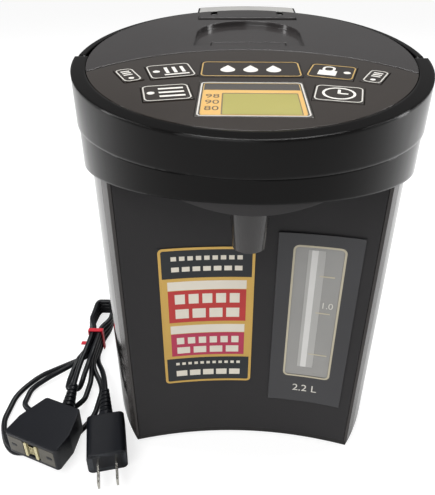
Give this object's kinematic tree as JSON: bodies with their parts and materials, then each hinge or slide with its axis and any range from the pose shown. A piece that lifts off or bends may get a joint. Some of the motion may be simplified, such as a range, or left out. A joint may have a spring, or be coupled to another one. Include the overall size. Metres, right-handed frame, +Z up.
{
  "type": "electric thermo pot",
  "caption": "Oval electric thermo pot with sloping control panel, hinged lid, swing-up carry handle, front spout, level gauge and a separate magnet-plug cord.",
  "frame": {"origin": "on the table under the middle of the pot's box, without its cord set", "axes": "+Z up, -Y out of the front panel and spout, +X to the viewer's right when facing the front"},
  "size_m": [0.2967, 0.272, 0.283],
  "materials": {
    "black_gloss": "glossy piano black",
    "panel_gloss": "glossy brown-black",
    "matte_dark": "fine matte dark grey",
    "strip_dark": "semi-gloss dark grey",
    "jacket_steel": "glossy dark brown-black metallic paint",
    "underside": "matte black",
    "foot_rubber": "matte",
    "steel": "satin",
    "lid_dark": "glossy dark grey-brown",
    "inner_plastic": "matte",
    "seal_silicone": "soft silicone",
    "lcd_glass": "liquid crystal display",
    "gauge_grey": "satin dark grey",
    "clear_window": "clear grey",
    "label_print": "printed film",
    "tube_clear": "clear",
    "board_green": "circuit board",
    "motor_metal": "zinc plated",
    "cord_black": "satin vinyl",
    "plug_black": "satin black",
    "tie_red": "red coated wire",
    "contact_brass": "plated",
    "blade_nickel": "nickel plated"
  },
  "bodies": {
    "pot": {"base_posts": "underside", "base_screws": "steel", "bottom_cover": "underside", "control_board": "board_green", "control_panel": "panel_gloss", "cord_hank": "cord_black", "cord_tie": "tie_red", "display_module": "board_green", "display_window": "lcd_glass", "front_label": "label_print", "front_panel": "matte_dark", "gauge_plate": "gauge_grey", "gauge_window": "clear_window", "handle_pins": "steel", "head_band": "black_gloss", "heater_plate": "steel", "hinge_ears": "inner_plastic", "inlet_pins": "contact_brass", "inner_vessel": "steel", "key_switches": "inner_plastic", "left_corner_strip": "strip_dark", "lid_hinge_pin": "steel", "magnet_plug": "plug_black", "magnet_strain_relief": "cord_black", "mains_plug": "plug_black", "mains_strain_relief": "cord_black", "mouth_frame": "inner_plastic", "outer_jacket": "jacket_steel", "plug_blades": "blade_nickel", "plug_contacts": "contact_brass", "power_board": "board_green", "power_inlet": "underside", "pump_housing": "inner_plastic", "pump_motor": "motor_metal", "right_corner_strip": "strip_dark", "rubber_feet": "foot_rubber", "shoulder_ring": "black_gloss", "sight_tube": "tube_clear", "spout_duct": "inner_plastic", "spout_housing": "black_gloss", "spout_nozzle": "matte_dark", "suction_pipe": "inner_plastic", "vacuum_jacket": "steel"},
    "lid": {"lid_cover": "lid_dark", "lid_base": "inner_plastic", "inner_lid": "steel", "lid_seal": "seal_silicone"},
    "handle": {"carry_handle": "black_gloss"},
    "lever": {"lid_lever": "lid_dark"},
    "latch": {"latch_slide": "inner_plastic"},
    "detach_bar": {"lid_detach_bar": "lid_dark"},
    "pump_shaft": {"pump_rotor": "motor_metal", "pump_impeller": "inner_plastic"},
    "boil_key": {"boil_key": "panel_gloss"},
    "unlock_key": {"unlock_key": "panel_gloss"},
    "keep_warm_key": {"keep_warm_key": "panel_gloss"},
    "timer_key": {"timer_key": "panel_gloss"},
    "clean_key": {"clean_key": "panel_gloss"},
    "mode_key": {"mode_key": "panel_gloss"},
    "pour_key": {"pour_key": "panel_gloss"}
  },
  "joints": [
    {"name": "lid_hinge", "type": "hinge", "parent": "pot", "child": "lid", "pos_m": [0, 0.0994, 0.2773], "axis": [-1, 0, 0], "range_deg": [0, 80]},
    {"name": "handle_hinge", "type": "hinge", "parent": "pot", "child": "handle", "pos_m": [0, -0.00564, 0.25677], "axis": [1, 0, 0], "range_deg": [0, 90]},
    {"name": "lever_hinge", "type": "hinge", "parent": "lid", "child": "lever", "pos_m": [0, 0.02623, 0.26826], "axis": [-1, 0, 0], "range_deg": [0, 25]},
    {"name": "latch_slide", "type": "slide", "parent": "lid", "child": "latch", "axis": [0, 0.9936, 0.1132], "range_m": [0, 0.003], "stiffness_N_per_m": 200, "springref_m": -0.0005},
    {"name": "detach_slide", "type": "slide", "parent": "lid", "child": "detach_bar", "axis": [0, -0.9936, -0.1132], "range_m": [0, 0.003], "stiffness_N_per_m": 300, "springref_m": -0.001},
    {"name": "pump_spin", "type": "hinge", "parent": "pot", "child": "pump_shaft", "pos_m": [0, 0.005, 0.03], "axis": [0, 0, 1], "continuous": true},
    {"name": "boil_key_press", "type": "slide", "parent": "pot", "child": "boil_key", "axis": [0, 0.1132, -0.9936], "range_m": [0, 0.0008], "stiffness_N_per_m": 600, "springref_m": -0.0003},
    {"name": "unlock_key_press", "type": "slide", "parent": "pot", "child": "unlock_key", "axis": [0, 0.1132, -0.9936], "range_m": [0, 0.0008], "stiffness_N_per_m": 600, "springref_m": -0.0003},
    {"name": "keep_warm_key_press", "type": "slide", "parent": "pot", "child": "keep_warm_key", "axis": [0, 0.1132, -0.9936], "range_m": [0, 0.0008], "stiffness_N_per_m": 600, "springref_m": -0.0003},
    {"name": "timer_key_press", "type": "slide", "parent": "pot", "child": "timer_key", "axis": [0, 0.1132, -0.9936], "range_m": [0, 0.0008], "stiffness_N_per_m": 600, "springref_m": -0.0003},
    {"name": "clean_key_press", "type": "slide", "parent": "pot", "child": "clean_key", "axis": [0, 0.1132, -0.9936], "range_m": [0, 0.0008], "stiffness_N_per_m": 600, "springref_m": -0.0003},
    {"name": "mode_key_press", "type": "slide", "parent": "pot", "child": "mode_key", "axis": [0, 0.1132, -0.9936], "range_m": [0, 0.0008], "stiffness_N_per_m": 600, "springref_m": -0.0003},
    {"name": "pour_key_press", "type": "slide", "parent": "pot", "child": "pour_key", "axis": [0, 0.1132, -0.9936], "range_m": [0, 0.0008], "stiffness_N_per_m": 600, "springref_m": -0.0003}
  ],
  "couplings": [
    {"joint": "lever_hinge", "follows": "latch_slide", "rad_per_m": 145.4}
  ]
}
